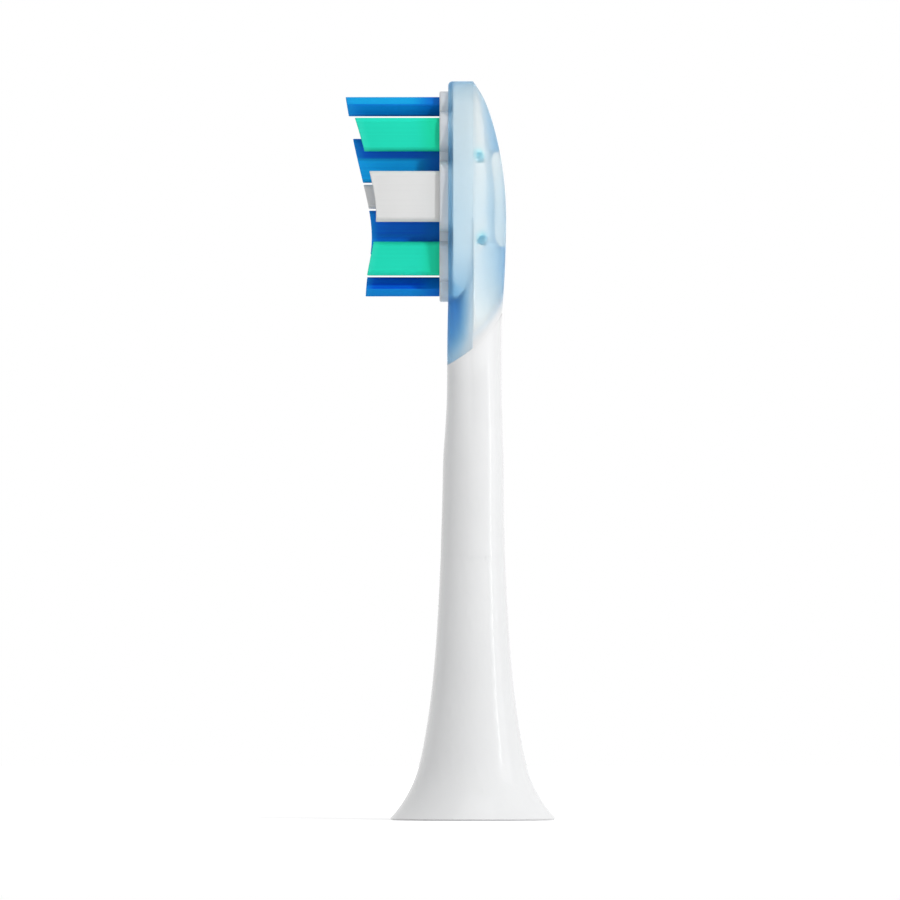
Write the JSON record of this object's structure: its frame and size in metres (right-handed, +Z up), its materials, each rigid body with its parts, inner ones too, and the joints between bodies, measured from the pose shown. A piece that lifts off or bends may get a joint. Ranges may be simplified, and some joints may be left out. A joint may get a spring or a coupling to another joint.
{
  "type": "electric toothbrush head",
  "caption": "Push-on electric toothbrush head: white flared stem, soft translucent blue head shell, and contoured blue, green and white bristle tufts on a lobed carrier plate.",
  "frame": {"origin": "centre of the base ring that stands on the handle's top", "axes": "+Z up the stem to the head's tip, -X the way the bristles point"},
  "size_m": [0.0214, 0.0168, 0.075],
  "materials": {
    "stem_white": "gloss moulded",
    "shell_blue": "frosted translucent",
    "carrier_white": "satin moulded",
    "bristle_blue": "drawn nylon filament",
    "bristle_green": "drawn nylon filament",
    "bristle_white": "drawn nylon filament",
    "socket_plastic": "satin moulded",
    "clip_steel": "rolled strip"
  },
  "bodies": {
    "root": {"stem": "stem_white", "head_overmould": "shell_blue", "tuft_carrier": "carrier_white", "tuft_end_top": "bristle_blue", "tuft_end_bottom": "bristle_blue", "tuft_green_top_left": "bristle_green", "tuft_green_top_right": "bristle_green", "tuft_green_bottom_left": "bristle_green", "tuft_green_bottom_right": "bristle_green", "tuft_white_left": "bristle_white", "tuft_white_right": "bristle_white", "tuft_mid_top_left": "bristle_blue", "tuft_mid_top_right": "bristle_blue", "tuft_mid_white_left": "bristle_white", "tuft_mid_white_right": "bristle_white", "tuft_mid_bottom_left": "bristle_blue", "tuft_mid_bottom_right": "bristle_blue", "drive_socket": "socket_plastic", "shaft_clip": "clip_steel"}
  },
  "joints": []
}
